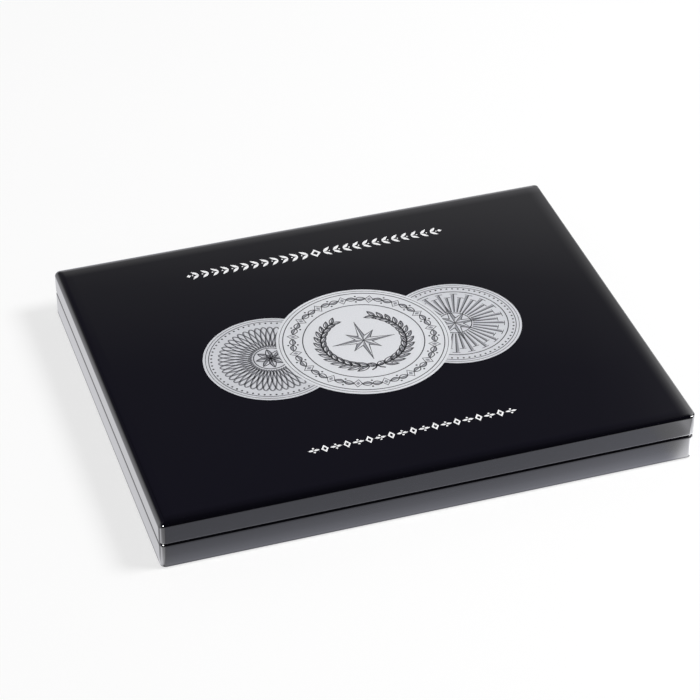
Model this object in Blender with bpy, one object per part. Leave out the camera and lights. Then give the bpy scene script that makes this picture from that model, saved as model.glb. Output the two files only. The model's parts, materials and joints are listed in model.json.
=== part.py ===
"""Coin display case.

A wooden case in black gloss lacquer for coins in round capsules. The lid opens on two brass
stop hinges at the back and is held shut by magnets in the front rims. A velour tray with rows
of round recesses lies in the base, and a padded satin panel fills the lid.
Metres. X runs along the case, the front faces -Y and Z is up. The origin is on the surface
that the case stands on, under the middle of the shells.
"""

import math

import bmesh
import bpy
from mathutils import Matrix, Vector

# Shells
CASE_LENGTH = 0.305
CASE_DEPTH = 0.245
BASE_HEIGHT = 0.0155
LID_HEIGHT = 0.0135
PARTING_GAP = 0.0005
SHELL_RISE = 0.0005
WALL = 0.009
FLOOR = 0.004
LID_PANEL = 0.004
CORNER_RADIUS = 0.0034
LID_TOP_RADIUS = 0.003
LID_RIM_RADIUS = 0.0008
BASE_RIM_RADIUS = 0.0012
BASE_FOOT_RADIUS = 0.002

# Clearances
SEAT_GAP = 0.0003
FIT_GAP = 0.0002
OVERRUN = 0.002

# Felt under the base, let into a shallow rebate
FELT_THICKNESS = 0.001
FELT_BORDER = 0.008
FELT_CORNER_RADIUS = 0.004

# Velour lining and tray in the base
LINING_THICKNESS = 0.0008
TRAY_THICKNESS = 0.006
TRAY_EDGE_RADIUS = 0.0008
TRAY_CORNER_RADIUS = 0.0015
TRAY_LAND = 0.0092
RECESS_DIAMETER = 0.0435
RECESS_LIP = 0.0006
RECESS_WEB = 0.008

# Padded satin panel in the lid
BOARD_THICKNESS = 0.0015
PAD_THICKNESS = 0.0063
PAD_EDGE_THICKNESS = 0.0022
PAD_DRAW_IN = 0.0014
PAD_ROLL_POWER = 10
PAD_CROWN_POWER = 2
PAD_CROWN_SHARE = 0.3

# Magnets in the front rims
MAGNET_RADIUS = 0.003
MAGNET_THICKNESS = 0.003
MAGNET_CHAMFER = 0.0003
MAGNET_INSET = 0.04

# Stop hinges
HINGE_INSET = 0.06
LEAF_LENGTH = 0.03
LEAF_SHOULDER = 0.0015
LEAF_THICKNESS = 0.0012
AXIS_OFFSET = 0.0008
BARREL_RADIUS = 0.0022
BARREL_GAP = 0.00035
KNUCKLE_GAP = 0.0002
KNUCKLE_COUNT = 5
HEEL_THICKNESS = 0.00105
OPENING_ANGLE = math.radians(100)
STOP_SLACK = math.radians(1.5)
PIN_RADIUS = 0.001
PIN_GAP = 0.0001
PIN_HEAD_RADIUS = 0.0016
PIN_HEAD_HEIGHT = 0.0006

# Hinge screws
SCREW_HEAD_RADIUS = 0.0018
SCREW_HEAD_DEPTH = 0.0009
SCREW_SHANK_RADIUS = 0.0009
SCREW_LENGTH = 0.0075
SCREW_POINT = 0.0018
SCREW_INSET = 0.006

# How finely curves are divided
CORNER_STEPS = 6
ROUND_STEPS = 4
RECESS_SIDES = 32
BARREL_SIDES = 24
SCREW_SIDES = 16
HEEL_STEPS = 5
PAD_COLUMNS = 28
PAD_ROWS = 22
SMOOTH_ANGLE = math.radians(35)
MERGE_DISTANCE = 0.000001
MOST_ROUND_SHARE = 0.92

# Colour, roughness and metallic value of each finish
FINISHES = {
    "lacquer": ((0.012, 0.011, 0.015), 0.08, 0),
    "felt": ((0.01, 0.01, 0.011), 0.95, 0),
    "velour": ((0.012, 0.012, 0.014), 0.9, 0),
    "satin": ((0.78, 0.73, 0.62), 0.35, 0),
    "card": ((0.42, 0.36, 0.27), 0.8, 0),
    "brass": ((0.72, 0.53, 0.24), 0.25, 1),
    "steel": ((0.55, 0.55, 0.56), 0.3, 1),
    "nickel": ((0.66, 0.64, 0.6), 0.22, 1),
}

# Heights above the surface that the case stands on
base_bottom = SHELL_RISE
base_rim = base_bottom + BASE_HEIGHT
lid_rim = base_rim + PARTING_GAP
lid_top = lid_rim + LID_HEIGHT
rebate_top = FELT_THICKNESS + SEAT_GAP
floor_top = rebate_top + FLOOR
lining_bottom = floor_top + SEAT_GAP
lining_top = lining_bottom + LINING_THICKNESS
tray_bottom = lining_top + SEAT_GAP
tray_top = tray_bottom + TRAY_THICKNESS
panel_bottom = lid_top - LID_PANEL
board_top = panel_bottom - SEAT_GAP
board_bottom = board_top - BOARD_THICKNESS
pad_back = board_bottom - SEAT_GAP

# Inside of the shells, and what lies in it
cavity_length = CASE_LENGTH - 2 * WALL
cavity_depth = CASE_DEPTH - 2 * WALL
insert_length = cavity_length - 2 * SEAT_GAP
insert_depth = cavity_depth - 2 * SEAT_GAP

# Hinge axis, parallel to X
rear_face = CASE_DEPTH / 2
axis_y = rear_face + AXIS_OFFSET
axis_z = base_rim + PARTING_GAP / 2
gap_radius = BARREL_RADIUS + BARREL_GAP
heel_radius = gap_radius + HEEL_THICKNESS

# How far the hinge leaves reach over the rim, in front of a shoulder of wood
leaf_reach = WALL - LEAF_SHOULDER


def remove_everything():
    for item in list(bpy.data.objects):
        bpy.data.objects.remove(item, do_unlink=True)


def finish_material(name, finish):
    colour, roughness, metallic = FINISHES[finish]
    made = bpy.data.materials.new(f"{name} {finish}")
    made.use_nodes = True
    shader = made.node_tree.nodes["Principled BSDF"]
    shader.inputs["Base Color"].default_value = (*colour, 1)
    shader.inputs["Roughness"].default_value = roughness
    shader.inputs["Metallic"].default_value = metallic
    return made


def add_object(name, bm, parent):
    """An object that stays where it is modelled, and turns with its parent."""
    bmesh.ops.recalc_face_normals(bm, faces=bm.faces)
    mesh = bpy.data.meshes.new(name)
    bm.to_mesh(mesh)
    bm.free()
    made = bpy.data.objects.new(name, mesh)
    bpy.context.scene.collection.objects.link(made)
    if parent:
        made.parent = parent
        made.matrix_parent_inverse = Matrix.Translation(parent.location).inverted()
    return made


def add_piece(name, bm, finish, parent=None):
    """A solid of the case, with its own material."""
    piece = add_object(name, bm, parent)
    piece.data.materials.append(finish_material(name, finish))
    piece.data.shade_smooth()
    piece.data.set_sharp_from_angle(angle=SMOOTH_ANGLE)
    return piece


def add_cutter(name, bm, parent=None):
    """A guide that shapes other pieces and isn't part of the case."""
    cutter = add_object(name, bm, parent)
    cutter.hide_render = True
    cutter.display_type = "WIRE"
    return cutter


def combine(piece, tool, operation):
    step = piece.modifiers.new(f"{operation.lower()} {tool.name}", "BOOLEAN")
    step.operation = operation
    step.solver = "EXACT"
    step.object = tool


def cut(piece, cutters):
    for cutter in cutters:
        combine(piece, cutter, "DIFFERENCE")


def add_box(bm, low, high):
    low, high = Vector(low), Vector(high)
    size = high - low
    place = Matrix.Translation((low + high) / 2) @ Matrix.Diagonal((*size, 1))
    bmesh.ops.create_cube(bm, size=1, matrix=place)


def add_rod(bm, radius, start, length, sides, place):
    """A cylinder along the Z of place, from start to start + length."""
    middle = place @ Matrix.Translation((0, 0, start + length / 2))
    bmesh.ops.create_cone(
        bm, segments=sides, radius1=radius, radius2=radius, depth=length, cap_ends=True, matrix=middle
    )


def add_turned(bm, profile, sides, place):
    """Spin a profile of (radius, height) points, which starts and ends on the axis."""
    chain = [bm.verts.new((radius, 0, height)) for radius, height in profile]
    edges = [bm.edges.new(pair) for pair in zip(chain, chain[1:])]
    bmesh.ops.spin(
        bm, geom=chain + edges, cent=(0, 0, 0), axis=(0, 0, 1), angle=math.tau, steps=sides
    )
    bmesh.ops.remove_doubles(bm, verts=bm.verts, dist=MERGE_DISTANCE)
    bmesh.ops.transform(bm, matrix=place, verts=bm.verts)


def add_prism(bm, outline, start, end):
    """Extrude a closed outline of (y, z) points along X, from start to end."""
    face = bm.faces.new([bm.verts.new((start, y, z)) for y, z in outline])
    grown = bmesh.ops.extrude_face_region(bm, geom=[face])["geom"]
    moved = [part for part in grown if isinstance(part, bmesh.types.BMVert)]
    bmesh.ops.translate(bm, verts=moved, vec=(end - start, 0, 0))


def rounded_ring(bm, length, depth, radius, height):
    """A loop round a rectangle with rounded corners."""
    loop = []
    for quarter, (side_x, side_y) in enumerate(((1, 1), (-1, 1), (-1, -1), (1, -1))):
        centre_x = side_x * (length / 2 - radius)
        centre_y = side_y * (depth / 2 - radius)
        for step in range(CORNER_STEPS + 1):
            angle = math.pi / 2 * (quarter + step / CORNER_STEPS)
            x = centre_x + radius * math.cos(angle)
            y = centre_y + radius * math.sin(angle)
            loop.append(bm.verts.new((x, y, height)))
    return loop


def edge_levels(bottom, top, bottom_round, top_round):
    """Pairs of (inset, height) up the side of a block with rounded lower and upper edges."""
    levels = []
    for step in range(ROUND_STEPS + 1 if bottom_round else 1):
        angle = math.pi / 2 * step / ROUND_STEPS
        height = bottom + bottom_round * (1 - math.cos(angle))
        levels.append((bottom_round * (1 - math.sin(angle)), height))
    for step in range(ROUND_STEPS + 1 if top_round else 1):
        angle = math.pi / 2 * step / ROUND_STEPS
        height = top - top_round * (1 - math.sin(angle))
        levels.append((top_round * (1 - math.cos(angle)), height))
    return levels


def rounded_block(length, depth, corner, bottom, top, bottom_round=0, top_round=0):
    """A block with upright rounded corners and rounded lower and upper edges."""
    most = corner * MOST_ROUND_SHARE
    bm = bmesh.new()
    rings = []
    for inset, height in edge_levels(bottom, top, min(bottom_round, most), min(top_round, most)):
        rings.append(rounded_ring(bm, length - 2 * inset, depth - 2 * inset, corner - inset, height))
    for lower, upper in zip(rings, rings[1:]):
        for here in range(len(lower)):
            after = (here + 1) % len(lower)
            bm.faces.new((lower[here], lower[after], upper[after], upper[here]))
    bm.faces.new(rings[0])
    bm.faces.new(rings[-1])
    return bm


def hinge_places():
    """The middle of each hinge along X, by its side."""
    reach = CASE_LENGTH / 2 - HINGE_INSET
    return {"left": -reach, "right": reach}


def magnet_places():
    """The middle of each pair of magnets, on the middle line of the front wall."""
    reach = CASE_LENGTH / 2 - MAGNET_INSET
    y = -(CASE_DEPTH - WALL) / 2
    return {"left": (-reach, y), "right": (reach, y)}


def screw_places():
    """The axis of each hinge screw, in the middle of the flange in front of the barrel."""
    y = rear_face - (leaf_reach + gap_radius - AXIS_OFFSET) / 2
    places = {}
    for side, middle in hinge_places().items():
        outward = math.copysign(LEAF_LENGTH / 2 - SCREW_INSET, middle)
        places[f"{side}_outer"] = (middle + outward, y)
        places[f"{side}_inner"] = (middle - outward, y)
    return places


def facing(level, place, upward):
    """The place of a piece sunk into a rim, with its local Z out of the wood."""
    turn = Matrix.Identity(4) if upward else Matrix.Rotation(math.pi, 4, "X")
    return Matrix.Translation((*place, level)) @ turn


def screw_profile(grow=0, above=0):
    """Flat countersunk screw with its face at zero. It grows by a clearance to make a hole."""
    head = SCREW_HEAD_RADIUS + grow
    shank = SCREW_SHANK_RADIUS + grow
    tip = -SCREW_LENGTH - grow
    profile = [(0, above), (head, above)]
    if above:
        profile.append((head, 0))
    return profile + [(shank, -SCREW_HEAD_DEPTH), (shank, tip + SCREW_POINT), (0, tip)]


def rim_cutters(name, level, upward, parent=None):
    """Holes that both shells have in the rim: for the magnets, hinge leaves, barrels and screws."""
    out = 1 if upward else -1
    cutters = []
    for side, place in magnet_places().items():
        bm = bmesh.new()
        bore = MAGNET_RADIUS + FIT_GAP
        deep = MAGNET_THICKNESS + SEAT_GAP
        add_rod(bm, bore, -deep, deep + OVERRUN, BARREL_SIDES, facing(level, place, upward))
        cutters.append(add_cutter(f"{name}_magnet_bore_{side}", bm, parent))
    for side, middle in hinge_places().items():
        half = LEAF_LENGTH / 2 + SEAT_GAP
        deep = level - out * (LEAF_THICKNESS + SEAT_GAP)
        above = level + out * OVERRUN
        bm = bmesh.new()
        add_box(
            bm,
            (middle - half, rear_face - leaf_reach - SEAT_GAP, min(deep, above)),
            (middle + half, rear_face + OVERRUN, max(deep, above)),
        )
        cutters.append(add_cutter(f"{name}_mortise_{side}", bm, parent))
        half = LEAF_LENGTH / 2 + KNUCKLE_GAP + PIN_HEAD_HEIGHT + SEAT_GAP
        bm = bmesh.new()
        add_rod(bm, gap_radius, -half, 2 * half, BARREL_SIDES, along_axis(middle))
        cutters.append(add_cutter(f"{name}_barrel_groove_{side}", bm, parent))
    for side, place in screw_places().items():
        bm = bmesh.new()
        add_turned(bm, screw_profile(FIT_GAP, OVERRUN), SCREW_SIDES, facing(level, place, upward))
        cutters.append(add_cutter(f"{name}_screw_hole_{side}", bm, parent))
    return cutters


def along_axis(middle):
    """A frame on the hinge axis whose Z runs along X."""
    return Matrix.Translation((middle, axis_y, axis_z)) @ Matrix.Rotation(math.pi / 2, 4, "Y")


def base_shell():
    bm = rounded_block(
        CASE_LENGTH, CASE_DEPTH, CORNER_RADIUS, base_bottom, base_rim, BASE_FOOT_RADIUS, BASE_RIM_RADIUS
    )
    shell = add_piece("base_shell", bm, "lacquer")
    bm = bmesh.new()
    add_box(
        bm,
        (-cavity_length / 2, -cavity_depth / 2, floor_top),
        (cavity_length / 2, cavity_depth / 2, base_rim + OVERRUN),
    )
    cavity = add_cutter("base_cavity", bm)
    rebate = add_cutter(
        "felt_rebate",
        rounded_block(
            CASE_LENGTH - 2 * FELT_BORDER,
            CASE_DEPTH - 2 * FELT_BORDER,
            FELT_CORNER_RADIUS,
            base_bottom - OVERRUN,
            rebate_top,
        ),
    )
    cut(shell, [cavity, rebate] + rim_cutters("base", base_rim, True))


def lid_shell(parent):
    bm = rounded_block(
        CASE_LENGTH, CASE_DEPTH, CORNER_RADIUS, lid_rim, lid_top, LID_RIM_RADIUS, LID_TOP_RADIUS
    )
    shell = add_piece("lid_shell", bm, "lacquer", parent)
    bm = bmesh.new()
    add_box(
        bm,
        (-cavity_length / 2, -cavity_depth / 2, lid_rim - OVERRUN),
        (cavity_length / 2, cavity_depth / 2, panel_bottom),
    )
    cavity = add_cutter("lid_cavity", bm, parent)
    cut(shell, [cavity] + rim_cutters("lid", lid_rim, False, parent))


def underside_felt():
    inset = 2 * (FELT_BORDER + SEAT_GAP)
    bm = rounded_block(
        CASE_LENGTH - inset, CASE_DEPTH - inset, FELT_CORNER_RADIUS - SEAT_GAP, 0, FELT_THICKNESS
    )
    add_piece("underside_felt", bm, "felt")


def tray_lining():
    bm = rounded_block(insert_length, insert_depth, TRAY_CORNER_RADIUS, lining_bottom, lining_top)
    add_piece("tray_lining", bm, "velour")


def recess_line(side):
    """Places along one side of the tray, as many as keep a web between neighbouring recesses."""
    span = side - 2 * TRAY_LAND - RECESS_DIAMETER
    gaps = int(span // (RECESS_DIAMETER + RECESS_WEB))
    if gaps < 1:
        return [0]
    return [span * (number / gaps - 1 / 2) for number in range(gaps + 1)]


def recess_centres():
    """Rows of recesses, spread so that the same land is left all round the tray."""
    for y in recess_line(insert_depth):
        for x in recess_line(insert_length):
            yield x, y


def coin_tray():
    """A velour-covered board with a through hole for each capsule, softened at its lip."""
    bm = rounded_block(
        insert_length, insert_depth, TRAY_CORNER_RADIUS, tray_bottom, tray_top, 0, TRAY_EDGE_RADIUS
    )
    tray = add_piece("coin_tray", bm, "velour")
    radius = RECESS_DIAMETER / 2
    rise = RECESS_LIP + OVERRUN
    profile = [
        (0, -TRAY_THICKNESS - OVERRUN),
        (radius, -TRAY_THICKNESS - OVERRUN),
        (radius, -RECESS_LIP),
        (radius + rise, OVERRUN),
        (0, OVERRUN),
    ]
    one = bmesh.new()
    add_turned(one, profile, RECESS_SIDES, Matrix.Identity(4))
    template = bpy.data.meshes.new("recess")
    one.to_mesh(template)
    one.free()
    bm = bmesh.new()
    for x, y in recess_centres():
        known = len(bm.verts)
        bm.from_mesh(template)
        bm.verts.ensure_lookup_table()
        bmesh.ops.translate(bm, verts=bm.verts[known:], vec=(x, y, tray_top))
    cut(tray, [add_cutter("recesses", bm)])


def lid_pad_board(parent):
    bm = rounded_block(insert_length, insert_depth, TRAY_CORNER_RADIUS, board_bottom, board_top)
    add_piece("lid_pad_board", bm, "card", parent)


def pad_depth(u, v):
    """How far the pad stands below its back, from its rolled edge to its crowned middle."""
    roll = math.sqrt((1 - abs(u) ** PAD_ROLL_POWER) * (1 - abs(v) ** PAD_ROLL_POWER))
    crown = (1 - abs(u) ** PAD_CROWN_POWER) * (1 - abs(v) ** PAD_CROWN_POWER)
    fullness = roll * (1 - PAD_CROWN_SHARE + PAD_CROWN_SHARE * crown)
    return PAD_EDGE_THICKNESS + (PAD_THICKNESS - PAD_EDGE_THICKNESS) * fullness


def lid_satin_pad(parent):
    """Satin over a foam sheet: flat at the back, crowned below, its sides drawn in between corners."""
    bm = bmesh.new()
    front = []
    for row in range(PAD_ROWS + 1):
        v = math.sin(math.pi * (row / PAD_ROWS - 1 / 2))
        line = []
        for column in range(PAD_COLUMNS + 1):
            u = math.sin(math.pi * (column / PAD_COLUMNS - 1 / 2))
            x = u * (insert_length / 2 - PAD_DRAW_IN * (1 - v * v))
            y = v * (insert_depth / 2 - PAD_DRAW_IN * (1 - u * u))
            line.append(bm.verts.new((x, y, pad_back - pad_depth(u, v))))
        front.append(line)
    for near, far in zip(front, front[1:]):
        for column in range(PAD_COLUMNS):
            bm.faces.new((near[column], near[column + 1], far[column + 1], far[column]))
    rim = [edge for edge in bm.edges if edge.is_boundary]
    sides = bmesh.ops.extrude_edge_only(bm, edges=rim)["geom"]
    for vert in (part for part in sides if isinstance(part, bmesh.types.BMVert)):
        vert.co.z = pad_back
    bmesh.ops.edgeloop_fill(bm, edges=[edge for edge in bm.edges if edge.is_boundary])
    add_piece("lid_satin_pad", bm, "satin", parent)


def magnet(name, level, place, upward, parent):
    """A plated disc with chamfered rims, flush with the wood."""
    inner = MAGNET_RADIUS - MAGNET_CHAMFER
    profile = [
        (0, 0),
        (inner, 0),
        (MAGNET_RADIUS, -MAGNET_CHAMFER),
        (MAGNET_RADIUS, MAGNET_CHAMFER - MAGNET_THICKNESS),
        (inner, -MAGNET_THICKNESS),
        (0, -MAGNET_THICKNESS),
    ]
    bm = bmesh.new()
    add_turned(bm, profile, BARREL_SIDES, facing(level, place, upward))
    add_piece(name, bm, "nickel", parent)


def magnets(parent):
    for side, place in magnet_places().items():
        magnet(f"base_magnet_{side}", base_rim, place, True, None)
        magnet(f"lid_magnet_{side}", lid_rim, place, False, parent)


def hinge_screws(parent):
    for side, place in screw_places().items():
        bm = bmesh.new()
        add_turned(bm, screw_profile(), SCREW_SIDES, facing(base_rim, place, True))
        add_piece(f"base_hinge_screw_{side}", bm, "brass")
        bm = bmesh.new()
        add_turned(bm, screw_profile(), SCREW_SIDES, facing(lid_rim, place, False))
        add_piece(f"lid_hinge_screw_{side}", bm, "brass", parent)


def heel_outline(out):
    """Section of the bar behind the knuckles. Its rear face meets the other leaf's at the stop."""
    stop = OPENING_ANGLE / 2 + STOP_SLACK
    back = math.pi / 2 + math.asin((AXIS_OFFSET - SEAT_GAP) / heel_radius)
    polar = [(PIN_RADIUS, back), (PIN_RADIUS, stop)]
    for step in range(HEEL_STEPS + 1):
        polar.append((heel_radius, stop + (back - stop) * step / HEEL_STEPS))
    return [(axis_y + r * math.cos(a), axis_z + out * r * math.sin(a)) for r, a in polar]


def leaf(shell, side, out, knuckles, level, parent):
    """One half of a stop hinge: flange, knuckles and the heel bar that joins them behind."""
    name = f"hinge_{shell}_leaf_{side}"
    middle = hinge_places()[side]
    half = LEAF_LENGTH / 2
    far = level + out * LEAF_THICKNESS
    bm = bmesh.new()
    add_box(
        bm,
        (middle - half, rear_face - leaf_reach, min(level, far)),
        (middle + half, axis_y, max(level, far)),
    )
    piece = add_piece(name, bm, "brass", parent)
    bm = bmesh.new()
    add_rod(bm, BARREL_RADIUS, -half, LEAF_LENGTH, BARREL_SIDES, along_axis(middle))
    combine(piece, add_cutter(f"{name}_barrel", bm, parent), "UNION")
    bm = bmesh.new()
    add_prism(bm, heel_outline(out), middle - half, middle + half)
    combine(piece, add_cutter(f"{name}_heel", bm, parent), "UNION")
    knuckle_length = LEAF_LENGTH / KNUCKLE_COUNT
    for number in range(KNUCKLE_COUNT):
        if number in knuckles:
            continue
        before = OVERRUN if number == 0 else KNUCKLE_GAP / 2
        after = OVERRUN if number == KNUCKLE_COUNT - 1 else KNUCKLE_GAP / 2
        start = number * knuckle_length - half - before
        bm = bmesh.new()
        add_rod(bm, gap_radius, start, knuckle_length + before + after, BARREL_SIDES, along_axis(middle))
        cut(piece, [add_cutter(f"{name}_gap_{number}", bm, parent)])
    bm = bmesh.new()
    bore = PIN_RADIUS + PIN_GAP
    add_rod(bm, bore, -half - OVERRUN, LEAF_LENGTH + 2 * OVERRUN, BARREL_SIDES, along_axis(middle))
    cut(piece, [add_cutter(f"{name}_pin_bore", bm, parent)])
    for hand in ("outer", "inner"):
        place = facing(level, screw_places()[f"{side}_{hand}"], out < 0)
        bm = bmesh.new()
        add_turned(bm, screw_profile(FIT_GAP, OVERRUN), SCREW_SIDES, place)
        cut(piece, [add_cutter(f"{name}_countersink_{hand}", bm, parent)])


def hinge_pin(name, middle):
    """A rod through all the knuckles, with a domed head at each end."""
    shoulder = LEAF_LENGTH / 2 + KNUCKLE_GAP
    end = shoulder + PIN_HEAD_HEIGHT
    dome_radius = PIN_RADIUS
    dome_start = shoulder + PIN_HEAD_HEIGHT / 2
    side = [
        (0, end),
        (dome_radius, end),
        (PIN_HEAD_RADIUS, dome_start),
        (PIN_HEAD_RADIUS, shoulder),
        (PIN_RADIUS, shoulder),
    ]
    profile = side + [(radius, -height) for radius, height in reversed(side)]
    bm = bmesh.new()
    add_turned(bm, profile, BARREL_SIDES, along_axis(middle))
    add_piece(name, bm, "steel")


def hinges(parent):
    base_knuckles = range(0, KNUCKLE_COUNT, 2)
    lid_knuckles = range(1, KNUCKLE_COUNT, 2)
    for side, middle in hinge_places().items():
        leaf("base", side, -1, base_knuckles, base_rim, None)
        leaf("lid", side, 1, lid_knuckles, lid_rim, parent)
        hinge_pin(f"hinge_pin_{side}", middle)


def lid_axis():
    """The lid turns on this empty, which lies on the line of both hinge pins."""
    axis = bpy.data.objects.new("lid_axis", None)
    bpy.context.scene.collection.objects.link(axis)
    axis.location = (0, axis_y, axis_z)
    return axis


def main():
    remove_everything()
    lid = lid_axis()
    base_shell()
    underside_felt()
    tray_lining()
    coin_tray()
    lid_shell(lid)
    lid_pad_board(lid)
    lid_satin_pad(lid)
    magnets(lid)
    hinges(lid)
    hinge_screws(lid)


main()
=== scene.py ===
import json
import math

import bmesh
import bpy
from mathutils import Matrix, Vector, noise


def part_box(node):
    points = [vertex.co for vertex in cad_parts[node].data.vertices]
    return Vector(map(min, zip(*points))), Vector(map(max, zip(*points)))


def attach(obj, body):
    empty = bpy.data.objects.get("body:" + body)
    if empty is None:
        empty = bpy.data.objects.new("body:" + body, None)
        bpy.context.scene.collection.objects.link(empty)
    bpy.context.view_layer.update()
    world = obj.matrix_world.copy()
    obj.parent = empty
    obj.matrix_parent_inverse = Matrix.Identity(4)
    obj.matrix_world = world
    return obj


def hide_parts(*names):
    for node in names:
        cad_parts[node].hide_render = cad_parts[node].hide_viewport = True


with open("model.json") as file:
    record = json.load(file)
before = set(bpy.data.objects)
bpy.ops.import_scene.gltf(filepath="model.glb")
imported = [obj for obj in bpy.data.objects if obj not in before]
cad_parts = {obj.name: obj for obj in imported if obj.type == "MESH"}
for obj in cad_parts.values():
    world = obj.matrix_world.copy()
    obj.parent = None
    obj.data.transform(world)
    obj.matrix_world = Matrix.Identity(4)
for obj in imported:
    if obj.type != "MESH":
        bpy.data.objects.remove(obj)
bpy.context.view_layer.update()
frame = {"nodes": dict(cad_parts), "record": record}

overlap = 0.002     # how far a cutting tool runs past the face it cuts
seatGap = 0.0003    # clearance between a piece and what it lies in
weldReach = 0.000005
hair = 0.00001      # what differs by less lies at the same height
tiny = 0.0000001    # a shorter line has no direction


# Working in object and edit mode

def deselectAll():
    if bpy.context.object and bpy.context.object.mode != "OBJECT":
        bpy.ops.object.mode_set(mode="OBJECT")
    for item in bpy.context.selected_objects:
        item.select_set(False)


def takeUp(piece):
    deselectAll()
    piece.select_set(True)
    bpy.context.view_layer.objects.active = piece


def openEdit(piece):
    takeUp(piece)
    bpy.ops.object.mode_set(mode="EDIT")
    bpy.ops.mesh.select_all(action="DESELECT")


def closeEdit():
    bpy.ops.object.mode_set(mode="OBJECT")


def turnOutwards():  # the last step of an edit
    bpy.ops.mesh.select_all(action="SELECT")
    bpy.ops.mesh.normals_make_consistent(inside=False)
    closeEdit()


def newObject(name, data):
    made = bpy.data.objects.new(name, data)
    bpy.context.scene.collection.objects.link(made)
    return made


def copyOf(model, name):  # with a mesh of its own
    return newObject(name, model.data.copy())


def pick(piece, kind, test):  # kind is verts, edges or faces
    bpy.ops.mesh.select_mode(type={"verts": "VERT", "edges": "EDGE", "faces": "FACE"}[kind])
    bpy.ops.mesh.select_all(action="DESELECT")
    mesh = bmesh.from_edit_mesh(piece.data)
    for item in getattr(mesh, kind):
        if test(item):
            item.select_set(True)
    bmesh.update_edit_mesh(piece.data)


def atHeight(item, z):
    return all(abs(vert.co.z - z) < hair for vert in item.verts)


def upright(edge, least=0.99):
    return abs((edge.verts[1].co - edge.verts[0].co).normalized().z) > least


def bakePlace(piece):
    takeUp(piece)
    bpy.ops.object.transform_apply(location=True, rotation=True, scale=True)


def addCube(name, low, high):
    low, high = Vector(low), Vector(high)
    bpy.ops.mesh.primitive_cube_add(size=1, location=(low + high) / 2, scale=high - low)
    piece = bpy.context.object
    piece.name = name
    bakePlace(piece)
    return piece


def addRod(name, radius, start, end, sides):  # a cylinder from one point to another
    start, end = Vector(start), Vector(end)
    way = end - start
    bpy.ops.mesh.primitive_cylinder_add(vertices=sides, radius=radius, depth=way.length)
    piece = bpy.context.object
    piece.name = name
    piece.location = (start + end) / 2
    piece.rotation_euler = way.to_track_quat("Z", "Y").to_euler()
    bakePlace(piece)
    return piece


def turnProfile(name, profile, sides):  # points of (radius, height), spun round the world's Z
    mesh = bpy.data.meshes.new(name)
    points = [(radius, 0, height) for radius, height in profile]
    mesh.from_pydata(points, [(step, step + 1) for step in range(len(points) - 1)], [])
    piece = newObject(name, mesh)
    openEdit(piece)
    bpy.ops.mesh.select_all(action="SELECT")
    bpy.ops.mesh.spin(steps=sides, angle=math.tau, center=(0, 0, 0), axis=(0, 0, 1))
    bpy.ops.mesh.select_all(action="SELECT")
    bpy.ops.mesh.remove_doubles(threshold=weldReach)
    turnOutwards()
    return piece


def placeAt(piece, point, upward=True, axis="Z"):
    turn = Matrix.Identity(4)
    if not upward:
        turn = Matrix.Rotation(math.pi, 4, "X")
    if axis == "X":
        turn = Matrix.Rotation(math.pi / 2, 4, "Y")
    piece.data.transform(Matrix.Translation(point) @ turn)


def applyStep(piece, step):
    takeUp(piece)
    bpy.ops.object.modifier_apply(modifier=step.name)


def joinBy(piece, tool, operation):
    step = piece.modifiers.new(operation.lower(), "BOOLEAN")
    step.operation = operation
    step.solver = "EXACT"
    step.object = tool
    applyStep(piece, step)
    bpy.data.objects.remove(tool, do_unlink=True)


def carve(piece, tool):
    joinBy(piece, tool, "DIFFERENCE")


def softenEdges(piece, width, segments=2, angle=40):
    step = piece.modifiers.new("worn edges", "BEVEL")
    step.width = width
    step.segments = segments
    step.limit_method = "ANGLE"
    step.angle_limit = math.radians(angle)
    step.use_clamp_overlap = True
    applyStep(piece, step)


def finishShading(piece, angle=35, keepFlat=True, rolled=""):
    takeUp(piece)
    bpy.ops.object.shade_smooth_by_angle(angle=math.radians(angle))
    if keepFlat:  # broad faces keep their normal right up to a rounded edge
        step = piece.modifiers.new("flat faces", "WEIGHTED_NORMAL")
        step.keep_sharp = True
        step.weight = 100
        step.vertex_group = rolled
        step.invert_vertex_group = bool(rolled)
        applyStep(piece, step)
    piece.vertex_groups.clear()


def settle(piece, body, material, nodes=()):
    piece.data.materials.clear()
    piece.data.materials.append(material)
    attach(piece, body)
    if nodes:
        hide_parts(*nodes)


# Building blocks of the materials

def feed(tree, node, inputs):  # each input is a value, or the socket that is wired to it
    for key, value in inputs.items():
        if isinstance(value, bpy.types.NodeSocket):
            tree.links.new(value, node.inputs[key])
        else:
            node.inputs[key].default_value = value


def addNode(tree, kind, inputs=None, **settings):
    node = tree.nodes.new(f"ShaderNode{kind}")
    for key, value in settings.items():
        setattr(node, key, value)
    feed(tree, node, inputs or {})
    return node


def mathOf(tree, operation, *inputs):
    return addNode(tree, "Math", dict(enumerate(inputs)), operation=operation).outputs[0]


def mixOf(tree, kind, share, first, second):
    return addNode(tree, "Mix", {"Factor": share, "A": first, "B": second}, data_type=kind).outputs["Result"]


def newMaterial(name, settings):
    made = bpy.data.materials.new(name)
    made.use_nodes = True
    shader = made.node_tree.nodes["Principled BSDF"]
    feed(made.node_tree, shader, settings)
    return made, made.node_tree, shader


def newGroup(name, inputs, output):
    group = bpy.data.node_groups.new(name, "ShaderNodeTree")
    for label, kind, value in inputs:
        socket = group.interface.new_socket(label, in_out="INPUT", socket_type=f"NodeSocket{kind}")
        if value is not None:
            socket.default_value = value
    group.interface.new_socket(output[0], in_out="OUTPUT", socket_type=f"NodeSocket{output[1]}")
    return group, group.nodes.new("NodeGroupInput").outputs, group.nodes.new("NodeGroupOutput")


def useGroup(tree, group, inputs):
    return addNode(tree, "Group", inputs, node_tree=group).outputs[0]


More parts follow.
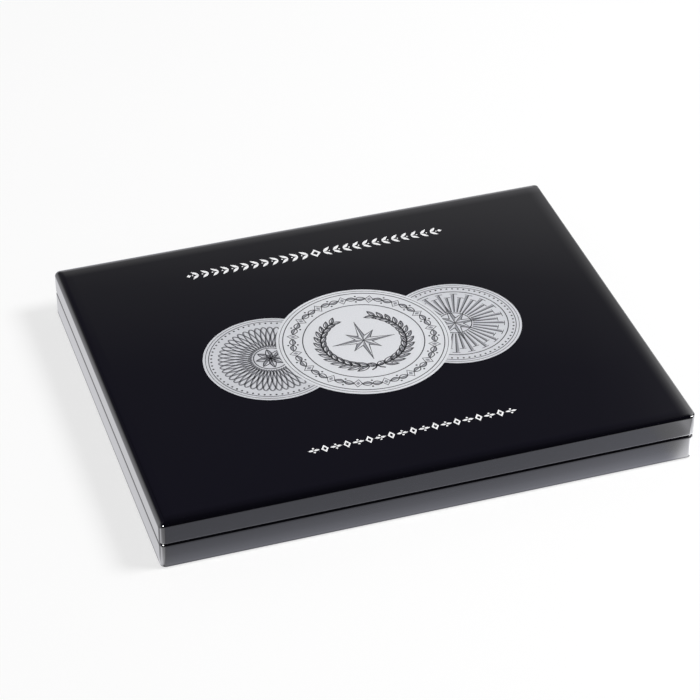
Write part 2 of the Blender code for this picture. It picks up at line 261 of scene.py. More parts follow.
def makeGrain():  # soft noise between two values, stretched along any axis
    group, given, leave = newGroup(
        "grain",
        [("Vector", "Vector", None), ("Stretch", "Vector", (1, 1, 1)), ("Scale", "Float", 500),
         ("Detail", "Float", 3), ("Low", "Float", 0), ("High", "Float", 1)],
        ("Value", "Float"),
    )
    stretched = addNode(group, "VectorMath", {0: given["Vector"], 1: given["Stretch"]}, operation="MULTIPLY")
    cloud = addNode(group, "TexNoise", {
        "Vector": stretched.outputs[0], "Scale": given["Scale"], "Detail": given["Detail"], "Roughness": 0.6,
    })
    spread = addNode(group, "MapRange", {
        "Value": cloud.outputs["Fac"], "From Min": 0.3, "From Max": 0.7,
        "To Min": given["Low"], "To Max": given["High"],
    })
    feed(group, leave, {"Value": spread.outputs["Result"]})
    return group


def makeSpecks():  # scattered dots of dust, each in its own cell
    group, given, leave = newGroup(
        "specks",
        [("Vector", "Vector", None), ("Scale", "Float", 100), ("Size", "Float", 0.05), ("Share", "Float", 0.1)],
        ("Mask", "Float"),
    )
    cells = addNode(
        group, "TexVoronoi", {"Vector": given["Vector"], "Scale": given["Scale"], "Randomness": 1}, feature="F1"
    )
    chance = addNode(group, "SeparateColor", {0: cells.outputs["Color"]}).outputs["Red"]
    near = mathOf(group, "LESS_THAN", cells.outputs["Distance"], given["Size"])
    chosen = mathOf(group, "LESS_THAN", chance, given["Share"])
    feed(group, leave, {"Mask": mathOf(group, "MULTIPLY", near, chosen)})
    return group


def makeTint():  # a colour that drifts to a second one with a value
    group, given, leave = newGroup(
        "tint",
        [("Value", "Float", 0), ("Plain", "Color", (1, 1, 1, 1)), ("Other", "Color", (0, 0, 0, 1))],
        ("Color", "Color"),
    )
    feed(group, leave, {"Color": mixOf(group, "RGBA", given["Value"], given["Plain"], given["Other"])})
    return group


grain = makeGrain()
specks = makeSpecks()
tint = makeTint()


def masksOf(tree, look, *names):
    place = addNode(tree, "TexCoord").outputs["Object"]
    groups = {"dust": specks}
    return [useGroup(tree, groups.get(name, grain), {"Vector": place, **look[name]}) for name in names]


def dress(tree, shader, look, value, rough, height=None):  # colour, gloss and relief from masks
    colour = useGroup(tree, tint, {"Value": value, "Plain": look["plain"], "Other": look["other"]})
    feed(tree, shader, {"Base Color": colour, "Roughness": rough})
    if height is not None:
        bump = addNode(tree, "Bump", {"Strength": look["bump"], "Distance": look["relief"], "Height": height})
        feed(tree, shader, {"Normal": bump.outputs["Normal"]})


# Materials

lacquerFinish = {
    "shader": {"Coat Weight": 1, "Coat Roughness": 0.02, "Coat IOR": 1.5},
    "plain": (0.0018, 0.0017, 0.0028, 1),
    "other": (0.05, 0.05, 0.06, 1),     # the dust
    "dust": {"Scale": 60, "Size": 0.022, "Share": 0.5},
    "wiped": {"Scale": 24, "Stretch": (1, 2.5, 1), "Low": 0.02, "High": 0.045},
    "peel": {"Scale": 700, "Detail": 1},
    "bump": 0.3,
    "relief": 0.000002,
}
velourFinish = {
    "shader": {"Sheen Weight": 0.6, "Sheen Roughness": 0.4, "Specular IOR Level": 0.1},
    "plain": (0.006, 0.006, 0.008, 1),
    "other": (0.03, 0.03, 0.036, 1),
    "patches": {"Scale": 30, "Stretch": (1, 0.4, 1), "Detail": 2},
    "fibres": {"Scale": 7500, "Detail": 4},
    "worn": {"Scale": 30, "Low": 0.8, "High": 1},
    "bump": 0.6,
    "relief": 0.00008,
}
feltFinish = {
    "shader": {"Sheen Weight": 0.3, "Sheen Roughness": 0.6, "Specular IOR Level": 0.1},
    "plain": (0.006, 0.006, 0.007, 1),
    "other": (0.028, 0.028, 0.03, 1),
    "patches": {"Scale": 90, "Detail": 2},
    "fibres": {"Scale": 1300, "Stretch": (1, 0.35, 1), "Detail": 4},
    "worn": {"Scale": 90, "Low": 0.9, "High": 1},
    "bump": 1,
    "relief": 0.0003,
}
cardFinish = {
    "shader": {"Specular IOR Level": 0.2},
    "plain": (0.3, 0.25, 0.18, 1),
    "other": (0.5, 0.44, 0.34, 1),
    "patches": {"Scale": 160, "Detail": 2},
    "fibres": {"Scale": 900, "Stretch": (1, 0.5, 1), "Detail": 4},
    "worn": {"Scale": 160, "Low": 0.75, "High": 0.95},
    "bump": 0.5,
    "relief": 0.0001,
}
satinFinish = {
    "shader": {"Sheen Weight": 0.35, "Sheen Roughness": 0.35, "Specular IOR Level": 0.6, "Anisotropic": 0.4},
    "plain": (0.66, 0.6, 0.49, 1),
    "other": (0.82, 0.77, 0.66, 1),
    "patches": {"Scale": 14, "Stretch": (1, 0.6, 1), "Detail": 2},
    "threads": {"Scale": 3600, "Stretch": (1, 0.05, 1), "Detail": 2},
    "threadShare": 0.35,
    "rough": (0.3, 0.42),
    "bump": 0.2,
    "relief": 0.00003,
}
metalFinish = {"shader": {"Metallic": 1}}
metals = {
    "brass": {
        "plain": (0.86, 0.66, 0.33, 1), "other": (0.78, 0.58, 0.27, 1), "tarnish": {"Scale": 180, "Detail": 4},
        "strokes": {"Scale": 3200, "Stretch": (0.15, 1, 1), "Low": 0.27, "High": 0.33},
        "bump": 0.025, "relief": 0.000004,
    },
    "steel pin": {
        "plain": (0.62, 0.62, 0.63, 1), "other": (0.42, 0.42, 0.43, 1), "tarnish": {"Scale": 400, "Detail": 4},
        "strokes": {"Scale": 1400, "Stretch": (1, 0.1, 1), "Low": 0.2, "High": 0.36},
        "bump": 0.1, "relief": 0.00001,
    },
    "nickel plating": {
        "plain": (0.72, 0.7, 0.66, 1), "other": (0.56, 0.54, 0.5, 1), "tarnish": {"Scale": 320, "Detail": 4},
        "strokes": {"Scale": 1100, "Stretch": (1, 0.15, 1), "Low": 0.14, "High": 0.28},
        "bump": 0.08, "relief": 0.00001,
    },
}
matt = {"Specular IOR Level": 0.3, "Metallic": 0}
silvery = {"Specular IOR Level": 0.3, "Metallic": 0.15}
inkFinish = {
    "flakes": {"Scale": 1500, "Detail": 2},
    "cover": {"Scale": 60, "Detail": 3, "Low": 0.38, "High": 0.55},
}
inkLooks = {
    "white ink": {"plain": (0.86, 0.86, 0.87, 1), "other": (0.96, 0.96, 0.97, 1), "shader": matt},
    "silver ink": {"plain": (0.69, 0.7, 0.73, 1), "other": (0.78, 0.79, 0.82, 1), "shader": silvery},
    "silver ink in shade": {"plain": (0.6, 0.61, 0.645, 1), "other": (0.69, 0.7, 0.735, 1), "shader": silvery},
    "shade ink": {"plain": (0.25, 0.255, 0.28, 1), "other": (0.32, 0.325, 0.35, 1), "shader": matt},
    "line ink": {"plain": (0.02, 0.02, 0.026, 1), "other": (0.04, 0.04, 0.048, 1), "shader": matt},
}


def makeFinish(name, look, *masks):  # which mask shifts the colour, the gloss and the relief
    material, tree, shader = newMaterial(name, look["shader"])
    dress(tree, shader, look, *masksOf(tree, look, *masks))
    return material


def makeCloth(name, look):  # pile, felt or card: fibres over soft patches
    material, tree, shader = newMaterial(name, look["shader"])
    patches, fibres, worn = masksOf(tree, look, "patches", "fibres", "worn")
    dress(tree, shader, look, mathOf(tree, "MULTIPLY", patches, fibres), worn, fibres)
    return material


def makeSatin(name, look):
    material, tree, shader = newMaterial(name, look["shader"])
    patches, threads = masksOf(tree, look, "patches", "threads")
    both = mixOf(tree, "FLOAT", look["threadShare"], patches, threads)
    low, high = look["rough"]
    shine = addNode(tree, "MapRange", {"Value": both, "To Min": low, "To Max": high})
    dress(tree, shader, look, both, shine.outputs["Result"], threads)
    return material


lacquer = makeFinish("black gloss lacquer", lacquerFinish, "dust", "wiped", "peel")
velour = makeCloth("black velour", velourFinish)
felt = makeCloth("black felt", feltFinish)
card = makeCloth("grey card", cardFinish)
satin = makeSatin("cream satin", satinFinish)
brass, steel, nickel = [
    makeFinish(name, {**metalFinish, **look}, "tarnish", "strokes", "strokes") for name, look in metals.items()
]
inks = {name: makeFinish(name, {**inkFinish, **look}, "flakes", "cover") for name, look in inkLooks.items()}
print("materials made")


# Shells

shellSizes = {
    "corner": 0.0034,
    "wall": 0.009,
    "baseFoot": 0.001,
    "baseRim": 0.0017,
    "lidRim": 0.0008,
    "lidTop": 0.003,
    "ease": {               # share of lidTop, from front to back or from left to right
        "left": (1.4, 1.1), "right": (0.2, 0.2), "front": (0.95, 0.7), "back": (0.8, 0.8),
    },
    "easeFall": {           # how far it falls, as a share of its width
        "left": 0.8, "right": 1, "front": 0.85, "back": 1,
    },
    "innerCorner": 0.001,
    "inkLayer": 0.00002,    # one layer of ink on the lid
    "inkLayers": 6,
    "inkDepth": 1.5,        # how far each reaches down, in layers
    "polish": {             # hand polishing rolls the top off over this width, to this slope
        "left": (0.006, 0.03), "right": (0.0082, 0.05), "front": (0.005, 0.12), "back": (0.008, 0.036),
    },
    "polishSteps": 5,
    "feltBorder": 0.008,
    "feltCorner": 0.004,
    "feltDepth": 0.0013,
}
hingeSizes = {
    "thickness": 0.0012,
    "barrel": 0.0022,
    "gapRadius": 0.00255,
    "heelRadius": 0.0036,
    "axisOffset": 0.0008,
    "knuckles": 5,
    "knuckleGap": 0.0002,
    "pin": 0.001,
    "pinGap": 0.0001,
    "pinHead": 0.0016,
    "pinDome": 0.0006,
    "openingAngle": 100,
    "stopSlack": 1.5,
    "heelSteps": 10,
    "domeSteps": 6,
    "sides": 48,
    "edge": 0.00012,
}
screwSizes = {
    "head": 0.0018,
    "headDepth": 0.0009,
    "shank": 0.0009,
    "length": 0.0075,
    "point": 0.0018,
    "gap": 0.0002,
    "crossLength": 0.0022,
    "crossWidth": 0.00045,
    "crossDepth": 0.0006,
    "edge": 0.00006,
    "turns": {"outer": 17, "inner": 52},    # how far each cross is turned, in degrees
    "sides": 32,
    "boreSides": 24,
}
magnetSizes = {
    "edge": 0.0003,
    "edgeSteps": 4,
    "gap": 0.0002,
}
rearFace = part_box("base_shell")[1].y
rimLevel = {"base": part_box("base_shell")[1].z, "lid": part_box("lid_shell")[0].z}
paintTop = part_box("lid_shell")[1].z - shellSizes["inkLayer"] * shellSizes["inkLayers"]
axisPoint = Vector((0, rearFace + hingeSizes["axisOffset"], sum(rimLevel.values()) / 2))


def middleOf(node):
    low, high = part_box(node)
    return (low + high) / 2


def rodAlongAxis(name, radius, start, end):  # on the axis of the lid's hinges
    return addRod(name, radius, *[(x, axisPoint.y, axisPoint.z) for x in (start, end)], hingeSizes["sides"])


def roundEdges(piece, z, radius, segments):
    pick(piece, "edges", lambda edge: atHeight(edge, z))
    bpy.ops.mesh.bevel(offset=radius, segments=segments, affect="EDGES")


def makeBlock(name, low, high, corner, lowRound=0, highRound=0, segments=8):
    piece = addCube(name, low, high)
    openEdit(piece)
    pick(piece, "edges", upright)
    bpy.ops.mesh.bevel(offset=corner, segments=segments + 4, affect="EDGES")
    if highRound:
        roundEdges(piece, high[2], highRound, segments)
    if lowRound:
        roundEdges(piece, low[2], lowRound, segments)
    closeEdit()
    return piece


def screwProfile(grow=0, above=0):
    look = screwSizes
    head, shank, tip = look["head"] + grow, look["shank"] + grow, -look["length"] - grow
    profile = [(0, above), (head, above)]
    if above:
        profile.append((head, 0))
    return profile + [(shank, -look["headDepth"]), (shank, tip + look["point"]), (0, tip)]


def carveRim(piece, shell, out):  # holes for magnets, leaves, barrels and screws, as the frame has them
    z = rimLevel[shell]
    above = z + out * overlap
    for side in ("left", "right"):
        low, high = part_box(f"{shell}_magnet_{side}")
        x, y = middleOf(f"{shell}_magnet_{side}")[:2]
        deep = z - out * (high.z - low.z + seatGap)
        radius = (high.x - low.x) / 2 + magnetSizes["gap"]
        carve(piece, addRod("bore", radius, (x, y, deep), (x, y, above), hingeSizes["sides"]))
        low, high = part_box(f"hinge_{shell}_leaf_{side}")
        below = z - out * (hingeSizes["thickness"] + seatGap)
        carve(piece, addCube(
            "mortise",
            (low.x - seatGap, low.y - seatGap, min(below, above)),
            (high.x + seatGap, rearFace + overlap, max(below, above)),
        ))
        low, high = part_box(f"hinge_pin_{side}")
        carve(piece, rodAlongAxis("groove", hingeSizes["gapRadius"], low.x - seatGap, high.x + seatGap))
        for hand in screwSizes["turns"]:
            hole = turnProfile("hole", screwProfile(screwSizes["gap"], overlap), screwSizes["boreSides"])
            x, y = middleOf(f"{shell}_hinge_screw_{side}_{hand}")[:2]
            placeAt(hole, (x, y, z), out > 0)
            carve(piece, hole)


def outlineFrame(point, low, high, corner):  # how far inside the outline a point is, and which way is out
    near = Vector((
        min(max(point.x, low.x + corner), high.x - corner),
        min(max(point.y, low.y + corner), high.y - corner),
    ))
    off = Vector(point[:2]) - near
    if off.length > tiny:
        return corner - off.length, off.normalized()
    gap, way = min(
        (near.x - low.x, (-1, 0)), (high.x - near.x, (1, 0)),
        (near.y - low.y, (0, -1)), (high.y - near.y, (0, 1)),
    )
    return gap, Vector(way)


def easeAt(side, point, low, high):  # how round the lid is at this place of a side
    along = 1 if side in ("left", "right") else 0
    share = (point[along] - low[along]) / (high[along] - low[along])
    first, last = shellSizes["ease"][side]
    return first + (last - first) * min(max(share, 0), 1)


def easeRound(point, out, low, high):  # as shares of lidTop, inwards and down
    width, fall = 0, 0
    sides = ("right" if out.x > 0 else "left", "back" if out.y > 0 else "front")
    for side, weight in zip(sides, (out.x ** 2, out.y ** 2)):
        share = easeAt(side, point, low, high)
        width += share * weight
        fall += share * shellSizes["easeFall"][side] * weight
    return width, fall


def easeTop(piece, top):  # the sander takes more off some edges than off others
    low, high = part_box("lid_shell")
    reach = shellSizes["lidTop"]
    for vert in piece.data.vertices:
        inside, out = outlineFrame(vert.co, low, high, shellSizes["corner"])
        below = top - vert.co.z
        if max(below, inside) > reach + hair:
            continue
        width, fall = easeRound(vert.co, out, low, high)
        shift = out * inside * (1 - width)
        vert.co += Vector((shift.x, shift.y, below * (1 - fall)))


def polishTop(piece, top):  # cuts lines beside the edges and lets the top roll off towards them
    look = shellSizes
    low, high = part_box("lid_shell")
    sides = {}
    openEdit(piece)
    for side, (width, slope) in look["polish"].items():
        axis = 0 if side in ("left", "right") else 1
        edge, way = (low[axis], 1) if side in ("left", "front") else (high[axis], -1)
        sides[side] = (axis, edge, way, width, slope)
        for step in range(look["polishSteps"] + 1):
            point, normal = [0, 0, 0], [0, 0, 0]
            inset = look["lidTop"] * max(look["ease"][side])
            point[axis] = edge + way * (inset + width * step / look["polishSteps"])
            normal[axis] = 1
            pick(piece, "faces", lambda face: atHeight(face, top))
            bpy.ops.mesh.bisect(plane_co=point, plane_no=normal)
    closeEdit()
    rolled = []
    for vert in piece.data.vertices:
        drop = 0
        for side, (axis, edge, way, width, slope) in sides.items():
            inset = look["lidTop"] * easeAt(side, vert.co, low, high)
            away = max(0, way * (vert.co[axis] - edge) - inset)
            drop += slope * width / 2 * max(0, 1 - away / width) ** 2
        out = outlineFrame(vert.co, low, high, look["corner"])[1]
        rise = look["lidTop"] * easeRound(vert.co, out, low, high)[1]
        share = min(1, max(0, (vert.co.z - (top - rise)) / rise))
        if share > 0.999 and drop > 0:
            rolled.append(vert.index)
        vert.co.z -= share * drop
    piece.vertex_groups.new(name="rolled").add(rolled, 1, "REPLACE")


def hollowOut(piece, name, low, high, border, levels, corner, segments):  # leaves a border all round
    ends = zip((low, high), (border, -border), levels)
    inner = [(spot.x + shift, spot.y + shift, z) for spot, shift, z in ends]
    carve(piece, makeBlock(name, *inner, corner, segments=segments))


def makeBase():
    low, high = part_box("base_shell")
    look = shellSizes
    piece = makeBlock("baseCase", low, high, look["corner"], look["baseFoot"], look["baseRim"])
    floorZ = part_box("tray_lining")[0].z - seatGap
    hollowOut(piece, "room", low, high, look["wall"], (floorZ, high.z + overlap), look["innerCorner"], 4)
    levels = (low.z - overlap, look["feltDepth"])
    hollowOut(piece, "rebate", low, high, look["feltBorder"], levels, look["feltCorner"], 6)
    carveRim(piece, "base", 1)
    finishShading(piece)
    settle(piece, "base", lacquer, ["base_shell"])


def makeLid():
    low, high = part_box("lid_shell")
    look = shellSizes
    high.z = paintTop
    piece = makeBlock("lidCase", low, high, look["corner"], look["lidRim"], look["lidTop"])
    easeTop(piece, high.z)
    polishTop(piece, high.z)
    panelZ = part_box("lid_pad_board")[1].z + seatGap
    hollowOut(piece, "room", low, high, look["wall"], (low.z - overlap, panelZ), look["innerCorner"], 4)
    carveRim(piece, "lid", -1)
    finishShading(piece, rolled="rolled")
    settle(piece, "lid", lacquer, ["lid_shell"])


makeBase()
makeLid()
print("shells made")


# Print on the lid: silver roundels with engraver's line work, and a white ornament above and below

sideRims = ((0.0015, 0.0003), (0.0033, 0.00045))    # inset and width of each ring
roundels = {
    "middle": {"centre": (0, -0.00045), "radius": 0.05, "rims": ((0.0017, 0.0003), (0.0038, 0.00055))},
    "left": {"centre": (-0.0552, -0.00045), "radius": 0.0385, "rims": sideRims},
    "right": {"centre": (0.0552, -0.00045), "radius": 0.0385, "rims": sideRims},
}
lineWork = {
    "line": 0.0006,
    "fine": 0.0004,
    "sides": 180,
    "beads": 64,
    "beadRadius": 0.00062,
    "beadInset": 0.0048,
    "leafSteps": 8,
    "leafBelly": 0.85,          # under 1, a leaf is widest near its stalk
    "wreathRadius": 0.0245,
    "wreathLeaves": 13,
    "wreathSteps": 40,
    "wreathGap": 0.5,           # radians left open at the top of the wreath
    "wreathFoot": 0.06,
    "wreathRing": 0.0348,
    "stem": 0.00084,
    "leafLength": 0.0085,
    "leafWidth": 0.0031,
    "leafAngle": 0.5,
    "leafTaper": 0.25,          # the last leaves are smaller by this share
    "leafStart": 0.6,
    "berryOffset": (0.0021, 0.05),
    "berryRadius": 0.000496,
    "bowLeaf": (0.0062, 0.0034),
    "bowAngle": 1.15,
    "bowEnds": ((0.0016, -0.0022), (0.004, -0.0034)),
    "bowStroke": 0.00096,
    "bowKnot": 0.0011,
    "starPoints": 8,
    "starReach": (0.0185, 0.0115),
    "starWaist": 0.0048,
    "bandRadius": 0.0405,
    "bandMotifs": 16,
    "bandLeaf": (0.0058, 0.0034),
    "bandBead": 0.0027,
    "lozenge": (0.0068, 0.0048),
    "lozengeHeart": 0.5,
    "rosetteWaves": 4,
    "rosetteLobes": 12,
    "rosetteSteps": 240,
    "rosetteRadius": (0.0205, 0.0095),
    "rosetteShade": (0.0003, -0.0003),
    "rosetteStroke": 0.0009,
    "rosetteRing": 0.0098,
    "rosetteLeaves": 8,
    "rosetteLeaf": (0.0088, 0.0036),
    "flutes": 40,
    "fluteReach": (0.0105, 0.0285),
    "fluteStep": 0.0035,        # every second flute is shorter by this
    "fluteShade": (0.4, 0.001),
    "fluteRings": (0.0008, 0.0022),
    "arcSteps": 4,
}
ornamentRows = {
    "upper": {"middle": (0, 0.0915), "half": 0.0795, "height": 0.008, "pairs": 12},
    "lower": {"middle": (0, -0.0873), "half": 0.0588, "height": 0.0064, "pairs": 9},
}
garland = {     # sizes are shares of the row's height, except where a note says otherwise
    "lozenge": (0.8, 1),
    "hole": 0.5,
    "end": 0.34,
    "endPlace": 0.17,
    "start": 0.6,
    "room": 0.75,
    "leaf": 0.78,
    "leafWidth": 0.34,      # of the leaf's length
    "taper": 0.12,          # of its length
    "angle": 0.72,          # radians
    "dot": 0.062,
    "dotPlace": 0.62,       # of the pitch
}
chain = {
    "lozenge": (0.66, 1),
    "hole": 0.48,
    "room": 0.3,
    "dot": 0.1,
    "dotPlace": 0.26,
    "leaf": (0.52, 0.24),
}
sketches = {}


def sheetOf(ink, level):  # the flat drawing of one ink on one layer
    if (ink, level) not in sketches:
        sketches[ink, level] = bmesh.new()
    return sketches[ink, level]


def polar(centre, radius, angle):
    return Vector((centre[0] + radius * math.cos(angle), centre[1] + radius * math.sin(angle)))


def circle(centre, radius, sides):
    return [polar(centre, radius, math.tau * step / sides) for step in range(sides)]


def addShape(sheet, points):
    sheet.faces.new([sheet.verts.new((point[0], point[1], 0)) for point in points])


def addDot(sheet, centre, radius, sides=14):
    addShape(sheet, circle(centre, radius, sides))


def addStroke(sheet, points, width, closed=False):
    points = [Vector(point[:2]) for point in points]
    count = len(points)
    left, right = [], []
    for index, point in enumerate(points):
        before = points[index - 1] if index or closed else point
        after = points[(index + 1) % count] if index < count - 1 or closed else point
        way = (after - before).normalized()
        side = Vector((-way.y, way.x)) * width / 2
        left.append(sheet.verts.new((*(point + side), 0)))
        right.append(sheet.verts.new((*(point - side), 0)))
    for index in range(count if closed else count - 1):
        after = (index + 1) % count
        sheet.faces.new((right[index], right[after], left[after], left[index]))


def addRing(sheet, centre, radius, width):
    addStroke(sheet, circle(centre, radius, lineWork["sides"]), width, True)


def leafSides(base, angle, length, width):  # both edges of a leaf, from its stalk to its tip
    along = Vector((math.cos(angle), math.sin(angle)))
    across = Vector((-math.sin(angle), math.cos(angle)))
    sides = [], []
    for step in range(lineWork["leafSteps"] + 1):
        share = step / lineWork["leafSteps"]
        half = width / 2 * math.sin(math.pi * share ** lineWork["leafBelly"])
        for side, points in zip((1, -1), sides):
            points.append(Vector(base) + along * length * share + across * (side * half))
    return sides


def addPlainLeaf(sheet, base, angle, length, width):
    left, right = leafSides(base, angle, length, width)
    addShape(sheet, left + right[-2:0:-1])


def addLeaf(base, angle, length, width, level):  # an engraved leaf: outline, midrib and one half in shade
    left, right = leafSides(base, angle, length, width)
    addShape(sheetOf("shade ink", level), right)
    line = sheetOf("line ink", level + 1)
    addStroke(line, left + right[-2:0:-1], lineWork["line"], True)
    addStroke(line, [left[0], left[-1]], lineWork["fine"])


def addBranch(centre, start, end, level):
    look = lineWork
    radius, steps, count = look["wreathRadius"], look["wreathSteps"], look["wreathLeaves"]
    line = sheetOf("line ink", level + 1)
    stem = [polar(centre, radius, start + (end - start) * step / steps) for step in range(steps + 1)]
    addStroke(line, stem, look["stem"])
    turn = math.copysign(1, end - start)
    out, back = look["berryOffset"]
    for number in range(count):
        angle = start + (end - start) * (number + look["leafStart"]) / count
        base = polar(centre, radius, angle)
        size = 1 - look["leafTaper"] * number / count
        for side in (1, -1):
            way = angle + turn * math.pi / 2 + side * look["leafAngle"]
            addLeaf(base, way, look["leafLength"] * size, look["leafWidth"] * size, level)
        berry = polar(centre, radius + out * (1 if number % 2 else -1), angle - back * turn)
        addDot(line, berry, look["berryRadius"])


def addStar(centre, level):
    look = lineWork
    line, shade = sheetOf("line ink", level + 1), sheetOf("shade ink", level)
    step = math.pi / look["starPoints"]
    for number in range(look["starPoints"]):
        angle = step * 2 * number + math.pi / 2
        tip = polar(centre, look["starReach"][number % 2], angle)
        left, right = [polar(centre, look["starWaist"], angle + turn * step) for turn in (1, -1)]
        addShape(shade, [centre, right, tip])
        addStroke(line, [left, tip, right], look["line"])
        addStroke(line, [centre, tip], look["fine"])


def addLozenge(sheet, centre, angle, size, hole=0, width=None):
    corners = [polar(centre, size[index % 2] / 2, angle + math.pi / 2 * index) for index in range(4)]
    if width:
        addStroke(sheet, corners, width, True)
    elif hole:
        inner = [Vector(centre) + (corner - Vector(centre)) * hole for corner in corners]
        for index in range(4):
            after = (index + 1) % 4
            addShape(sheet, [corners[index], corners[after], inner[after], inner[index]])
    else:
        addShape(sheet, corners)


def addBand(centre, level):  # ring of lozenges and leaf pairs
    look = lineWork
    line, shade = sheetOf("line ink", level + 1), sheetOf("shade ink", level)
    radius = look["bandRadius"]
    for number in range(look["bandMotifs"]):
        angle = math.tau * number / look["bandMotifs"]
        middle = polar(centre, radius, angle)
        addLozenge(line, middle, angle, look["lozenge"], width=look["line"])
        addLozenge(shade, middle, angle, [size * look["lozengeHeart"] for size in look["lozenge"]])
        between = angle + math.pi / look["bandMotifs"]
        base = polar(centre, radius, between)
        for side in (1, -1):
            addLeaf(base, between + math.pi / 2 * side, *look["bandLeaf"], level)
            addDot(line, polar(centre, radius + side * look["bandBead"], between), look["beadRadius"])
        addDot(line, base, look["beadRadius"])


def addRosette(centre, level):  # engine-turned waves
    look = lineWork
    line, shade = sheetOf("line ink", level + 1), sheetOf("shade ink", level)
    middle, swing = look["rosetteRadius"]
    steps = look["rosetteSteps"]
    for wave in range(look["rosetteWaves"]):
        shift = math.tau * wave / look["rosetteWaves"]
        points = []
        for step in range(steps):
            angle = math.tau * step / steps
            points.append(polar(centre, middle + swing * math.cos(look["rosetteLobes"] * angle + shift), angle))
        addStroke(line, points, look["fine"], True)
        shaded = [point + Vector(look["rosetteShade"]) for point in points]
        addStroke(shade, shaded, look["rosetteStroke"], True)
    addRing(line, centre, look["rosetteRing"], look["line"])
    for number in range(look["rosetteLeaves"]):
        addLeaf(centre, math.tau * number / look["rosetteLeaves"], *look["rosetteLeaf"], level)


def addFlutes(centre, level):  # a sunburst of grooves with one dark side
    look = lineWork
    line, shade = sheetOf("line ink", level + 1), sheetOf("shade ink", level)
    inner, outer = look["fluteReach"]
    wide, short = look["fluteShade"]
    step, parts = math.tau / look["flutes"], look["arcSteps"]
    for number in range(look["flutes"]):
        angle = math.tau * number / look["flutes"]
        reach = outer - (look["fluteStep"] if number % 2 else 0)
        start, end = polar(centre, inner, angle), polar(centre, reach, angle)
        addStroke(line, [start, end], look["line"])
        far = [polar(centre, radius, angle + step * wide) for radius in (inner, reach - short)]
        addShape(shade, [start, *far, end])
        arc = [polar(centre, reach, angle + step * (part / parts - 0.5)) for part in range(parts + 1)]
        addStroke(line, arc, look["fine"])
    within, beyond = look["fluteRings"]
    for radius in (inner - within, outer + beyond):
        addRing(line, centre, radius, look["line"])
    addStar(centre, level)


def addBow(knot, level):
    look = lineWork
    line = sheetOf("line ink", level + 1)
    for way in (1, -1):
        addLeaf(knot, math.pi / 2 - way * look["bowAngle"], *look["bowLeaf"], level)
        addStroke(line, [knot] + [knot + Vector((way * x, y)) for x, y in look["bowEnds"]], look["bowStroke"])
    addDot(line, knot, look["bowKnot"])


def addMedal(centre, level):  # a wreath round a star, in a band
    look = lineWork
    addBand(centre, level)
    addRing(sheetOf("line ink", level + 1), centre, look["wreathRing"], look["line"])
    foot = -math.pi / 2
    for way in (1, -1):
        addBranch(centre, foot + look["wreathFoot"] * way, foot + way * (math.pi - look["wreathGap"]), level)
    addBow(polar(centre, look["wreathRadius"], foot), level)
    addStar(centre, level)


def addRoundel(name, ink, level, fill):
    look = roundels[name]
    centre, radius = Vector(look["centre"]), look["radius"]
    addShape(sheetOf(ink, level), circle(centre, radius, lineWork["sides"]))
    line = sheetOf("line ink", level + 2)
    for inset, width in look["rims"]:
        addRing(line, centre, radius - inset, width)
    if name != "middle":
        for bead in circle(centre, radius - lineWork["beadInset"], lineWork["beads"]):
            addDot(line, bead, lineWork["beadRadius"], 10)
    fill(centre, level + 1)


def addGarland(row):  # a white sprig that grows both ways from a lozenge
    look, sheet = garland, sheetOf("white ink", 1)
    middle, height, half = Vector(row["middle"]), row["height"], row["half"]
    addLozenge(sheet, middle, 0, [height * share for share in look["lozenge"]], hole=look["hole"])
    pitch = (half - height * look["room"]) / row["pairs"]
    for way in (1, -1):
        for number in range(row["pairs"]):
            base = middle + Vector((way * (height * look["start"] + pitch * number), 0))
            size = height * look["leaf"] * (1 - look["taper"] * number / row["pairs"])
            for side in (1, -1):
                angle = (0 if way > 0 else math.pi) + way * side * look["angle"]
                addPlainLeaf(sheet, base, angle, size, size * look["leafWidth"])
            addDot(sheet, base + Vector((way * pitch * look["dotPlace"], 0)), height * look["dot"])
        end = middle + Vector((way * (half - height * look["endPlace"]), 0))
        addLozenge(sheet, end, 0, [height * look["end"]] * 2)


def addChain(row):  # white lozenges and dots
    look, sheet = chain, sheetOf("white ink", 1)
    middle, height = Vector(row["middle"]), row["height"]
    pitch = (row["half"] - height * look["room"]) / row["pairs"]
    for number in range(-row["pairs"], row["pairs"] + 1):
        spot = middle + Vector((pitch * number, 0))
        if number % 2:
            for side in (1, -1):
                addDot(sheet, spot + Vector((0, side * height * look["dotPlace"])), height * look["dot"])
                angle = math.pi / 2 - side * math.pi / 2
                addPlainLeaf(sheet, spot, angle, *[height * share for share in look["leaf"]])
        else:
            addLozenge(sheet, spot, 0, [height * share for share in look["lozenge"]], hole=look["hole"])


def finishPrint():
    layer = shellSizes["inkLayer"]
    deep = (0, 0, -layer * shellSizes["inkDepth"])
    for (ink, level), sheet in sketches.items():
        name = "".join(word.capitalize() for word in ink.split())
        piece = newObject(f"lid{name}{level}", bpy.data.meshes.new(name))
        bmesh.ops.recalc_face_normals(sheet, faces=sheet.faces)
        sheet.to_mesh(piece.data)
        sheet.free()
        piece.data.transform(Matrix.Translation((0, 0, paintTop + level * layer)))
        openEdit(piece)
        bpy.ops.mesh.select_all(action="SELECT")
        bpy.ops.mesh.extrude_region_move(TRANSFORM_OT_translate={"value": deep})
        turnOutwards()
        settle(piece, "lid", inks[ink])


addRoundel("left", "silver ink in shade", 1, addRosette)
addRoundel("right", "silver ink in shade", 1, addFlutes)
addRoundel("middle", "silver ink", 4, addMedal)
addGarland(ornamentRows["upper"])
addChain(ornamentRows["lower"])
finishPrint()
print("print made")


# Velour tray, its lining, and the felt under the base

traySizes = {
    "corner": 0.0015,
    "edge": 0.0009,
    "recess": 0.0435,
    "lip": 0.0009,
    "lipSteps": 5,
    "lipRaise": 0.00001,
    "sides": 72,
    "feltEdge": 0.0003,
    "liningEdge": 0.0002,
}


